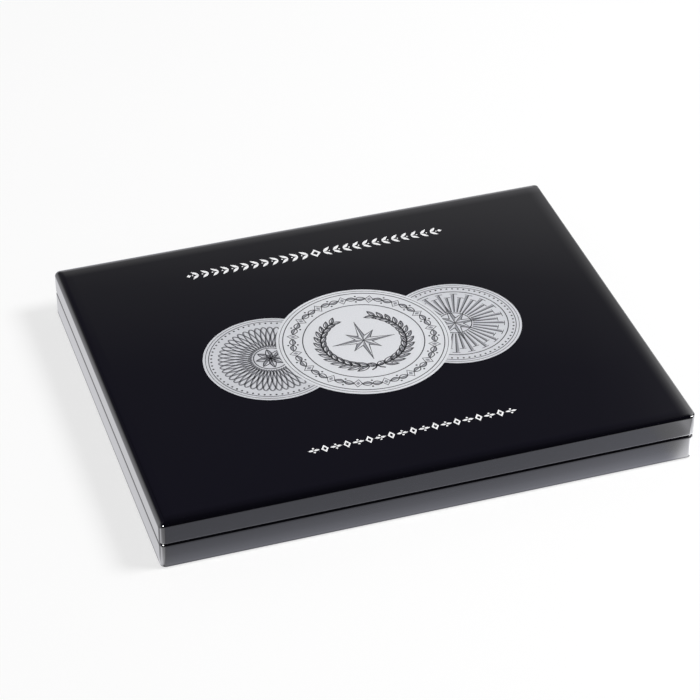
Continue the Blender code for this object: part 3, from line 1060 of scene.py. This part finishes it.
def recessTool(depth):
    look = traySizes
    radius, lip = look["recess"] / 2, look["lip"]
    profile = [(0, -depth - overlap), (radius, -depth - overlap)]
    for step in range(look["lipSteps"] + 1):
        angle = math.pi / 2 * step / look["lipSteps"]
        profile.append((radius + lip * (1 - math.cos(angle)), look["lipRaise"] - lip + lip * math.sin(angle)))
    profile += [(radius + lip, overlap), (0, overlap)]
    return turnProfile("recess", profile, look["sides"])


def makeTray():
    low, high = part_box("coin_tray")
    look = traySizes
    piece = makeBlock("velourTray", low, high, look["corner"], 0, look["edge"], segments=5)
    first = recessTool(high.z - low.z)
    tools = []
    for opening in frame["record"]["physics"]["openings"]:
        least, most = opening["box_m"]
        tool = copyOf(first, "recess")
        placeAt(tool, ((least[0] + most[0]) / 2, (least[1] + most[1]) / 2, high.z))
        tools.append(tool)
    bpy.data.objects.remove(first, do_unlink=True)
    takeUp(tools[0])
    for tool in tools:
        tool.select_set(True)
    bpy.ops.object.join()
    carve(piece, tools[0])
    finishShading(piece, 50)
    settle(piece, "base", velour, ["coin_tray"])


def makeSheet(name, node, material, corner, lowEdge, highEdge, segments):
    low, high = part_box(node)
    piece = makeBlock(name, low, high, corner, lowEdge, highEdge, segments)
    finishShading(piece)
    settle(piece, "base", material, [node])


makeTray()
makeSheet("velourLining", "tray_lining", velour, traySizes["corner"], 0, traySizes["liningEdge"], 2)
feltCorner = shellSizes["feltCorner"] - seatGap
makeSheet("feltUnderside", "underside_felt", felt, feltCorner, traySizes["feltEdge"], 0, 3)
print("tray and sheets made")


# Hinges, screws and magnets

def heelBar(x, length, out):  # the bar behind the knuckles, whose rear face meets the other leaf's
    look = hingeSizes
    stop = math.radians(look["openingAngle"] / 2 + look["stopSlack"])
    back = math.pi / 2 + math.asin((look["axisOffset"] - seatGap) / look["heelRadius"])
    steps = look["heelSteps"]
    corners = [(look["pin"], back), (look["pin"], stop)]
    corners += [(look["heelRadius"], stop + (back - stop) * step / steps) for step in range(steps + 1)]
    points = [
        (x - length / 2, axisPoint.y + r * math.cos(a), axisPoint.z + out * r * math.sin(a)) for r, a in corners
    ]
    mesh = bpy.data.meshes.new("heel")
    mesh.from_pydata(points, [], [list(range(len(points)))])
    piece = newObject("heel", mesh)
    openEdit(piece)
    bpy.ops.mesh.select_all(action="SELECT")
    bpy.ops.mesh.extrude_region_move(TRANSFORM_OT_translate={"value": (length, 0, 0)})
    turnOutwards()
    return piece


def makeLeaves(shell, out, kept):
    look = hingeSizes
    low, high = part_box(f"hinge_{shell}_leaf_left")
    middle, length = middleOf(f"hinge_{shell}_leaf_left").x, high.x - low.x
    level = rimLevel[shell]
    far = level + out * look["thickness"]
    model = addCube("leaf", (-length / 2, low.y, min(level, far)), (length / 2, axisPoint.y, max(level, far)))
    joinBy(model, rodAlongAxis("barrel", look["barrel"], -length / 2, length / 2), "UNION")
    joinBy(model, heelBar(0, length, out), "UNION")
    step = length / look["knuckles"]
    for number in range(look["knuckles"]):
        if number in kept:
            continue
        before = overlap if number == 0 else look["knuckleGap"] / 2
        after = overlap if number == look["knuckles"] - 1 else look["knuckleGap"] / 2
        first = -length / 2 + number * step
        carve(model, rodAlongAxis("gap", look["gapRadius"], first - before, first + step + after))
    far = length / 2 + overlap
    carve(model, rodAlongAxis("pinBore", look["pin"] + look["pinGap"], -far, far))
    for hand in screwSizes["turns"]:
        hole = turnProfile("countersink", screwProfile(screwSizes["gap"], overlap), screwSizes["sides"])
        spot = middleOf(f"{shell}_hinge_screw_left_{hand}")
        placeAt(hole, (spot.x - middle, spot.y, level), out < 0)
        carve(model, hole)
    softenEdges(model, look["edge"])
    finishShading(model)
    for side in ("left", "right"):
        node = f"hinge_{shell}_leaf_{side}"
        piece = copyOf(model, f"{shell}Leaf{side.capitalize()}")
        placeAt(piece, (middleOf(node).x, 0, 0))
        settle(piece, shell, brass, [node])
    bpy.data.objects.remove(model, do_unlink=True)


def makePins():
    look = hingeSizes
    low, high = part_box("hinge_pin_left")
    half, rise = (high.x - low.x) / 2, look["pinDome"]
    shoulder = half - rise
    steps = look["domeSteps"]
    dome = [
        (look["pinHead"] * math.cos(a), shoulder + rise / 2 + rise / 2 * math.sin(a))
        for a in (math.pi / 2 * step / steps for step in range(steps, -1, -1))
    ]
    end = [(0, half)] + dome[1:] + [(look["pinHead"], shoulder), (look["pin"], shoulder)]
    profile = end + [(radius, -height) for radius, height in reversed(end)]
    model = turnProfile("pin", profile, look["sides"])
    finishShading(model)
    for side in ("left", "right"):
        piece = copyOf(model, f"hingePin{side.capitalize()}")
        placeAt(piece, middleOf(f"hinge_pin_{side}"), axis="X")
        settle(piece, "base", steel, [f"hinge_pin_{side}"])
    bpy.data.objects.remove(model, do_unlink=True)


def makeScrews():
    look = screwSizes
    model = turnProfile("screw", screwProfile(), look["sides"])
    arm, slot, deep = look["crossLength"] / 2, look["crossWidth"] / 2, look["crossDepth"]
    cross = addCube("cross", (-arm, -slot, -deep), (arm, slot, overlap))
    joinBy(cross, addCube("arm", (-slot, -arm, -deep), (slot, arm, overlap)), "UNION")
    carve(model, cross)
    softenEdges(model, look["edge"])
    finishShading(model)
    for shell in ("base", "lid"):
        for side in ("left", "right"):
            for hand, turn in look["turns"].items():
                node = f"{shell}_hinge_screw_{side}_{hand}"
                piece = copyOf(model, f"{shell}Screw{side.capitalize()}{hand.capitalize()}")
                piece.data.transform(Matrix.Rotation(math.radians(turn), 4, "Z"))
                placeAt(piece, (*middleOf(node)[:2], rimLevel[shell]), shell == "base")
                settle(piece, shell, brass, [node])
    bpy.data.objects.remove(model, do_unlink=True)


def makeMagnets():
    low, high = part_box("base_magnet_left")
    radius, deep, edge = (high.x - low.x) / 2, high.z - low.z, magnetSizes["edge"]
    profile = [(0, 0)]
    for step in range(magnetSizes["edgeSteps"] + 1):
        angle = math.pi / 2 * (1 - step / magnetSizes["edgeSteps"])
        profile.append((radius - edge + edge * math.cos(angle), -edge + edge * math.sin(angle)))
    profile += [(radius, edge - deep), (radius - edge, -deep), (0, -deep)]
    model = turnProfile("magnet", profile, hingeSizes["sides"])
    finishShading(model)
    for shell in ("base", "lid"):
        for side in ("left", "right"):
            node = f"{shell}_magnet_{side}"
            piece = copyOf(model, f"{shell}Magnet{side.capitalize()}")
            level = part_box(node)[1 if shell == "base" else 0].z
            placeAt(piece, (*middleOf(node)[:2], level), shell == "base")
            settle(piece, shell, nickel, [node])
    bpy.data.objects.remove(model, do_unlink=True)


makeLeaves("base", -1, (0, 2, 4))
makeLeaves("lid", 1, (1, 3))
makePins()
makeScrews()
makeMagnets()
print("hinges, screws and magnets made")


# Padded satin panel in the lid

padSizes = {
    "columns": 150,
    "rows": 120,
    "edge": 0.0004,
    "drawIn": 0.0005,
    "shoulder": 0.012,
    "crownShare": 0.3,
    "frames": 20,
    "quality": 5,
    "pressure": 4,
    "spare": -0.012,        # the cloth is cut this much larger than the board
    "most": 0.0009,         # how far the cloth may move
    "room": 0.0006,
    "fill": 0.6,
}
gathers = {                 # creases that run in from an edge and fade
    "depth": 0.0005,
    "pitch": 0.0105,
    "reach": 0.009,
    "start": 0.0012,        # from the edge to where they are deepest
    "drift": (1.1, 3, 7.3, 40),         # how far they wander, and how slowly: along, from edge to edge, inwards
    "strength": (0.65, 0.7, 1.7, 3.1, 5),   # even share, uneven share, and the same for it
    "pinch": 0.6,
    "lengths": (0.3, 0.4),  # added to the strength, and the least, as shares of the reach
}


def shoulderAt(gap):  # how high the foam stands at this distance from its edge, as a share
    far = 1 - min(1, max(0, gap / padSizes["shoulder"]))
    return math.sqrt(max(0, 1 - far * far))


def gatherAt(along, gap, number):
    look = gathers
    place = along / look["pitch"]
    wander, slow, apart, inwards = look["drift"]
    drift = noise.noise(Vector((place / slow, number * apart, gap * inwards)))
    puff = abs(math.sin(math.pi * (place + wander * drift))) ** look["pinch"]
    even, uneven, slow, apart, level = look["strength"]
    strength = even + uneven * noise.noise(Vector((place / slow, number * apart, level)))
    more, least = look["lengths"]
    fade = math.exp(-gap / look["reach"] / max(least, strength + more)) * min(1, gap / look["start"])
    return look["depth"] * strength * fade * (puff - 1)


def padPoint(u, v, low, high):
    look = padSizes
    halfX, halfY = (high.x - low.x) / 2, (high.y - low.y) / 2
    x = u * (halfX - look["drawIn"] * (1 - v * v))
    y = v * (halfY - look["drawIn"] * (1 - u * u))
    gapX, gapY = halfX * (1 - abs(u)), halfY * (1 - abs(v))
    thick = high.z - low.z - look["room"]
    crown = (1 - u * u) * (1 - v * v)
    share = shoulderAt(gapX) * shoulderAt(gapY) * (1 - look["crownShare"] + look["crownShare"] * crown)
    depth = look["edge"] + (thick - look["edge"]) * share
    depth += gatherAt(y, gapX, 1 if u > 0 else 2) * shoulderAt(gapY)
    depth += gatherAt(x, gapY, 3 if v > 0 else 4) * shoulderAt(gapX)
    return Vector((x, y, high.z - depth))


def makePad():
    look = padSizes
    low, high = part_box("lid_satin_pad")
    bpy.ops.mesh.primitive_grid_add(x_subdivisions=look["columns"], y_subdivisions=look["rows"], size=2)
    piece = bpy.context.object
    piece.name = "satinPad"
    for vert in piece.data.vertices:
        u, v = math.sin(math.pi / 2 * vert.co.x), math.sin(math.pi / 2 * vert.co.y)
        vert.co = padPoint(max(-1, min(1, u)), max(-1, min(1, v)), low, high)
    openEdit(piece)
    bpy.ops.mesh.select_all(action="SELECT")
    bpy.ops.mesh.flip_normals()
    closeEdit()
    puffUp(piece)
    openEdit(piece)
    bpy.ops.mesh.select_mode(type="EDGE")
    bpy.ops.mesh.select_non_manifold()
    bpy.ops.mesh.extrude_region_move()
    bpy.ops.transform.resize(value=(1, 1, 0), center_override=(0, 0, high.z))
    bpy.ops.mesh.edge_face_add()
    turnOutwards()
    finishShading(piece, 60, keepFlat=False)
    settle(piece, "lid", satin, ["lid_satin_pad"])


def rimOf(piece):  # the points on its open edges, which belong to one face each
    count = {}
    for face in piece.data.polygons:
        for key in face.edge_keys:
            count[key] = count.get(key, 0) + 1
    return list({index for edge in piece.data.edges if count[edge.key] == 1 for index in edge.vertices})


def puffUp(piece):  # blows the cloth up a little on its foam, which leaves gathers along the edges
    look = padSizes
    before = [vert.co.copy() for vert in piece.data.vertices]
    piece.vertex_groups.new(name="rim").add(rimOf(piece), 1, "REPLACE")
    cloth = piece.modifiers.new("cloth", "CLOTH")
    cloth.settings.vertex_group_mass = "rim"
    cloth.settings.quality = look["quality"]
    cloth.settings.use_pressure = True
    cloth.settings.uniform_pressure_force = look["pressure"]
    cloth.settings.shrink_min = look["spare"]
    cloth.settings.effector_weights.gravity = 0
    cloth.collision_settings.use_self_collision = False
    for step in range(1, look["frames"] + 1):
        bpy.context.scene.frame_set(step)
    applyStep(piece, cloth)
    bpy.context.scene.frame_set(1)
    for vert, start in zip(piece.data.vertices, before):
        move = vert.co - start
        vert.co = start + move.normalized() * look["most"] * math.tanh(move.length / look["most"])
    piece.vertex_groups.clear()


makePad()
print("satin pad made")

cardPieces = frame["nodes"]["lid_pad_board"].data.materials
cardPieces.clear()
cardPieces.append(card)


# Camera, light and floor

cameraPlace = {
    "location": (-0.3900, -1.1787, 0.9482),
    "target": (-0.0062, 0.0058, 0.0201),
    "lens": 139.3,
    "sensor": 36,
    "reach": 20,
}


def makeCamera():
    look = cameraPlace
    camera = newObject("camera", bpy.data.cameras.new("camera"))
    camera.location = look["location"]
    camera.rotation_euler = (Vector(look["target"]) - camera.location).to_track_quat("-Z", "Y").to_euler()
    camera.data.lens = look["lens"]
    camera.data.sensor_width = look["sensor"]
    camera.data.clip_end = look["reach"]
    bpy.context.scene.camera = camera


roomLight = {
    "toBack": (0.308, 0.951),       # way from the camera to the case, over the floor
    "backLimits": (-0.6, -0.2),     # it is dark behind the camera
    "backStops": [                  # sine of the height over the horizon, brightness, tint of blue
        (0.0, 1.0, 1.04), (0.25, 1.0, 1.04), (0.4, 0.85, 1.04), (0.47, 0.62, 1.04), (0.515, 0.4, 1.04),
        (0.545, 0.25, 1.04), (0.574, 0.105, 1.15), (0.6, 0.058, 1.4), (0.65, 0.05, 1.6), (0.8, 0.026, 1.6),
        (1.0, 0.01, 1.6),
    ],
    "greenLoss": 0.1,               # green falls by this share of what blue gains
    "frontStops": [(0.0, 1.0, 1.0), (0.05, 0.8, 1.0), (0.12, 0.03, 1.4), (0.5, 0.01, 1.6), (1.0, 0.01, 1.6)],
    "sideStops": [                  # a bright wall at the right, brighter the further right the lacquer looks
        (0.3, 0.003), (0.33, 0.01), (0.345, 0.025), (0.36, 0.06), (0.375, 0.15), (0.39, 0.35), (0.4, 0.64),
        (0.41, 1.17), (0.42, 1.9), (0.43, 2.2), (1.0, 2.2),
    ],
    "sideMost": 2.2,
    "sideFrom": {"Y": (0.3, 0.6), "Z": (0.34, 0.43)},   # the wall stands on the far side, over the horizon
    "spread": 0.35,                 # even light from all round, on what isn't glossy
}


def smoothStep(tree, value, low, high, start=0, end=1):
    return addNode(
        tree, "MapRange", {"Value": value, "From Min": low, "From Max": high, "To Min": start, "To Max": end},
        interpolation_type="SMOOTHSTEP",
    ).outputs["Result"]


def rampOf(tree, value, points):  # colours along a value from 0 to 1
    ramp = addNode(tree, "ValToRGB", {"Fac": value})
    stops = ramp.color_ramp.elements
    while len(stops) < len(points):
        stops.new(0.5)
    for stop, (where, colour) in zip(stops, points):
        stop.position = where
        stop.color = (*colour, 1)
    return ramp.outputs["Color"]


def curveOf(tree, value, stops, most):  # a number along a line of (place, number), as a share of the most
    first, last = stops[0][0], stops[-1][0]
    span = addNode(tree, "MapRange", {"Value": value, "From Min": first, "From Max": last}).outputs["Result"]
    points = [((where - first) / (last - first), [number / most] * 3) for where, number in stops]
    return rampOf(tree, span, points)


def makeWorld():
    look = roomLight
    world = bpy.data.worlds.new("studio")
    bpy.context.scene.world = world
    world.use_nodes = True
    tree = world.node_tree
    tree.nodes.clear()
    way = addNode(tree, "SeparateXYZ", {0: addNode(tree, "TexCoord").outputs["Generated"]}).outputs
    flat = addNode(tree, "CombineXYZ", {"X": way["X"], "Y": way["Y"]}).outputs[0]
    unit = addNode(tree, "VectorMath", {0: flat}, operation="NORMALIZE").outputs[0]
    toBack = addNode(tree, "VectorMath", {0: unit, 1: (*look["toBack"], 0)}, operation="DOT_PRODUCT")
    ramps = []
    for stops in (look["frontStops"], look["backStops"]):
        ramps.append(rampOf(tree, way["Z"], [
            (where, (bright, bright * (1 - look["greenLoss"] * (blue - 1)), bright * blue))
            for where, bright, blue in stops
        ]))
    seen = mixOf(tree, "RGBA", smoothStep(tree, toBack.outputs["Value"], *look["backLimits"]), *ramps)
    strength = look["sideMost"]
    for axis, limits in look["sideFrom"].items():
        strength = mathOf(tree, "MULTIPLY", smoothStep(tree, way[axis], *limits), strength)
    side = curveOf(tree, way["X"], look["sideStops"], look["sideMost"])
    wall = addNode(tree, "VectorMath", {0: side, "Scale": strength}, operation="SCALE").outputs[0]
    walled = addNode(tree, "VectorMath", {0: wall, 1: seen}, operation="ADD").outputs[0]
    white = (1, 1, 1, 1)
    glossy, even, plain = [
        addNode(tree, "Background", {"Color": colour, "Strength": bright}).outputs[0]
        for colour, bright in ((walled, 1), (white, look["spread"]), (white, 1))
    ]
    rays = addNode(tree, "LightPath").outputs
    room = addNode(tree, "MixShader", {"Fac": rays["Is Glossy Ray"], 1: even, 2: glossy}).outputs[0]
    whole = addNode(tree, "MixShader", {"Fac": rays["Is Camera Ray"], 1: room, 2: plain}).outputs[0]
    addNode(tree, "OutputWorld", {"Surface": whole})


floorLook = {
    "size": 12,
    "level": -0.00002,          # a hair under the case, so that no two faces lie in one plane
    "colour": (0.97, 0.97, 0.97, 1),
    "glow": 0.7,                # share of the white that shade doesn't reach
    "tint": (0.985, 1, 1.13, 1),
    "sideTint": (1, 1, 1.04, 1),
    "frontStops": [             # metres in front of the case, how bright the lacquer sees the floor there: a painted reflection, as the floor glows so for glossy rays only
        (0.0, 1.9), (0.004, 1.3), (0.01, 0.94), (0.019, 0.67), (0.025, 0.635), (0.036, 0.61), (0.07, 0.6),
    ],
    "acrossStops": [            # metres across, brighter by this much: painted highlights in the lacquer's reflection of the floor
        (-0.16, 0.95), (0.05, 1.1), (0.1, 1.22), (0.14, 1.36), (0.149, 1.6), (0.1527, 1.75), (0.1553, 1.9),
        (0.1572, 2.1), (0.159, 2.6), (0.161, 3.3), (0.164, 3.3), (0.172, 2.0), (0.2, 1.3),
    ],
    "endStops": [               # painted highlight: more light on the foot near the right end, along a slanting line, in the floor that the lacquer reflects
        (0.1, 0), (0.131, 0), (0.1354, 0.1), (0.138, 0.35), (0.14, 0.7), (0.142, 1.4), (0.144, 2.2),
        (0.148, 3.2), (0.156, 3.8), (0.166, 1.2), (0.175, 0), (0.2, 0),
    ],
    "endSlant": 0.82,
    "endReach": (0.023, 0.016),
    "frontFrom": (-0.012, 0.001),   # metres in front of the case, from none to all of that light
    "leftFrom": (0.012, -0.004),    # metres from the case's left side
    "rightFrom": (-0.016, -0.004),  # and from its right side
    "cornerFrom": (0.001, -0.003),
    "corner": 2.2,              # painted highlight in the reflection: brighter by this much past the left end
    # painted shade: beside the case's left side the lacquer sees the floor this much darker
    "side": 0.84,
    "foot": (0.0, 0.0026),      # painted shade in the reflection: it is dark by the foot of the case, as far out as this
    "footSide": 2.6,            # and so much less far at its ends
    "footBright": 0.08,
    "hole": -0.006,             # under the case, from this far inside its foot, the floor is open
    "most": 6,
}


def frontLight(tree, look, across, inFront, low):  # painted reflection: how bright the lacquer sees the floor in front of it, with painted highlights
    most = look["most"]
    ahead = curveOf(tree, inFront, look["frontStops"], most)
    wide = curveOf(tree, across, look["acrossStops"], most)
    slanted = mathOf(tree, "SUBTRACT", across, mathOf(tree, "MULTIPLY", inFront, look["endSlant"]))
    end = curveOf(tree, slanted, look["endStops"], most)
    reach = smoothStep(tree, inFront, *look["endReach"])
    plain = mathOf(tree, "MULTIPLY", mathOf(tree, "MULTIPLY", ahead, wide), most ** 2)
    more = mathOf(tree, "MULTIPLY", mathOf(tree, "MULTIPLY", end, reach), most)
    first, last = [low.x + offset for offset in look["cornerFrom"]]
    corner = smoothStep(tree, across, first, last, 1, look["corner"])
    return mathOf(tree, "MULTIPLY", mathOf(tree, "ADD", plain, more), corner)


def makeFloor():
    look = floorLook
    bpy.ops.mesh.primitive_plane_add(size=look["size"], location=(0, 0, look["level"]))
    floor = bpy.context.object
    floor.name = "floor"
    bakePlace(floor)
    material, tree, shader = newMaterial(
        "white floor", {"Base Color": look["colour"], "Roughness": 1, "Specular IOR Level": 0}
    )
    low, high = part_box("base_shell")
    spot = addNode(tree, "SeparateXYZ", {0: addNode(tree, "TexCoord").outputs["Object"]}).outputs
    inFront = mathOf(tree, "SUBTRACT", low.y, spot["Y"])
    isFront = smoothStep(tree, inFront, *look["frontFrom"])
    isLeft = smoothStep(tree, spot["X"], *[low.x + offset for offset in look["leftFrom"]])
    isRight = smoothStep(tree, spot["X"], *[high.x + offset for offset in look["rightFrom"]])
    front = frontLight(tree, look, spot["X"], inFront, low)
    level = mixOf(tree, "FLOAT", isFront, 1, front)
    beside = mathOf(tree, "MULTIPLY", isLeft, mathOf(tree, "SUBTRACT", 1, isFront))
    level = mixOf(tree, "FLOAT", beside, level, look["side"])
    far = [mathOf(tree, "SUBTRACT", mathOf(tree, "ABSOLUTE", spot[axis]), high[axis]) for axis in (0, 1)]
    outside = mathOf(tree, "MAXIMUM", mathOf(tree, "MULTIPLY", far[0], look["footSide"]), far[1])
    # painted shade: the floor that the lacquer reflects darkens close by the case's foot
    foot = smoothStep(tree, outside, *look["foot"], look["footBright"], 1)
    rays = addNode(tree, "LightPath").outputs
    glossy = rays["Is Glossy Ray"]
    # glossy rays see the floor glow with painted highlights and painted shade, not an even white
    bright = mixOf(tree, "FLOAT", glossy, 1, mathOf(tree, "MULTIPLY", level, foot))
    colour = mixOf(tree, "RGBA", mathOf(tree, "MAXIMUM", isLeft, isRight), look["tint"], look["sideTint"])
    colour = mixOf(tree, "RGBA", glossy, (1, 1, 1, 1), colour)
    glow = addNode(tree, "Emission", {"Color": colour, "Strength": bright}).outputs[0]
    share = mathOf(tree, "MAXIMUM", mathOf(tree, "MULTIPLY", rays["Is Camera Ray"], look["glow"]), glossy)
    lit = addNode(tree, "MixShader", {"Fac": share, 1: shader.outputs[0], 2: glow}).outputs[0]
    below = addNode(tree, "NewGeometry").outputs["Backfacing"]
    gone = mathOf(tree, "MAXIMUM", below, mathOf(tree, "LESS_THAN", outside, look["hole"]))
    clear = addNode(tree, "BsdfTransparent").outputs[0]     # seen from below, the floor isn't there
    whole = addNode(tree, "MixShader", {"Fac": gone, 1: lit, 2: clear}).outputs[0]
    feed(tree, tree.nodes["Material Output"], {"Surface": whole})
    floor.data.materials.append(material)


lamps = {   # the second one is seen in the lacquer only
    "key": {"place": (1.602, -0.52, 2.11), "size": 1.02, "power": 62, "lights": True},
    "glint": {"place": (-0.9, -0.6, 1.2), "size": 0.42, "power": 36, "lights": False},
}


def makeLamps():
    for name, look in lamps.items():
        lamp = newObject(name, bpy.data.lights.new(name, "AREA"))
        lamp.location = look["place"]
        lamp.rotation_euler = (-lamp.location).to_track_quat("-Z", "Y").to_euler()
        lamp.data.shape = "DISK"
        lamp.data.size = look["size"]
        lamp.data.energy = look["power"]
        lamp.visible_diffuse = look["lights"]


makeCamera()
makeWorld()
makeFloor()
makeLamps()
bpy.context.scene.view_settings.view_transform = "Standard"
print("camera, light and floor made")
